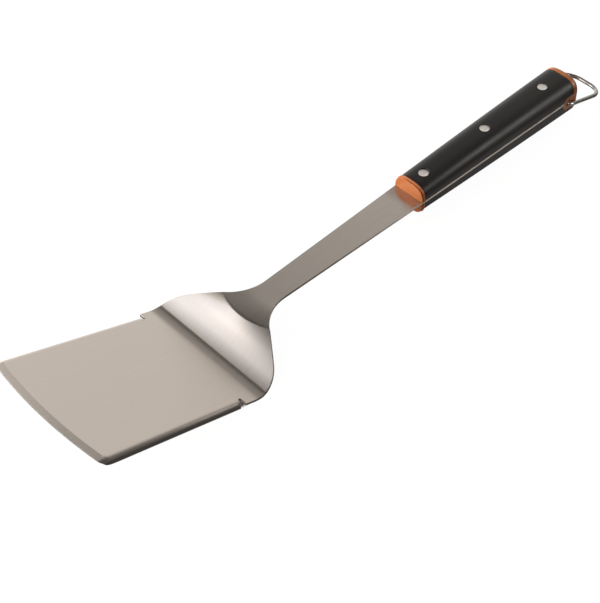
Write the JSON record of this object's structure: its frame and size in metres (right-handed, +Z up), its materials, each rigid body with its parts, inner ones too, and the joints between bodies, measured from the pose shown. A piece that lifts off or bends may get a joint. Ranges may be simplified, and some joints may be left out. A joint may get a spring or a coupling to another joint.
{
  "type": "grill spatula",
  "caption": "Long-handled grill spatula: flanged steel blade and full tang in one plate, riveted two-part handle, coloured bolster and end cap, folding wire hanging bail.",
  "frame": {"origin": "on the table under the middle of the bounding box, as the tool lies at rest with its bail out behind it", "axes": "+X along the handle from the blade to the butt, +Y across the tool, +Z up from the table; the tool's cooking side faces +Z"},
  "size_m": [0.5058, 0.102, 0.0495],
  "materials": {
    "brushed_steel": "brushed along the tool",
    "black_scale": "satin moulded",
    "orange_polymer": "semi-gloss moulded",
    "rivet_steel": "fine satin",
    "wire_steel": "polished wire"
  },
  "bodies": {
    "spatula": {"blade_and_tang": "brushed_steel", "upper_scale": "black_scale", "lower_scale": "black_scale", "front_bolster_upper": "orange_polymer", "front_bolster_lower": "orange_polymer", "end_cap": "orange_polymer", "rivet_front_post": "rivet_steel", "rivet_front_socket": "rivet_steel", "rivet_middle_post": "rivet_steel", "rivet_middle_socket": "rivet_steel", "rivet_rear_post": "rivet_steel", "rivet_rear_socket": "rivet_steel"},
    "bail": {"hanging_bail": "wire_steel"}
  },
  "joints": [
    {"name": "bail_swing", "type": "hinge", "parent": "spatula", "child": "bail", "pos_m": [0.21102, 0, 0.0137], "axis": [0, -1, 0], "range_deg": [-140, 172]}
  ]
}
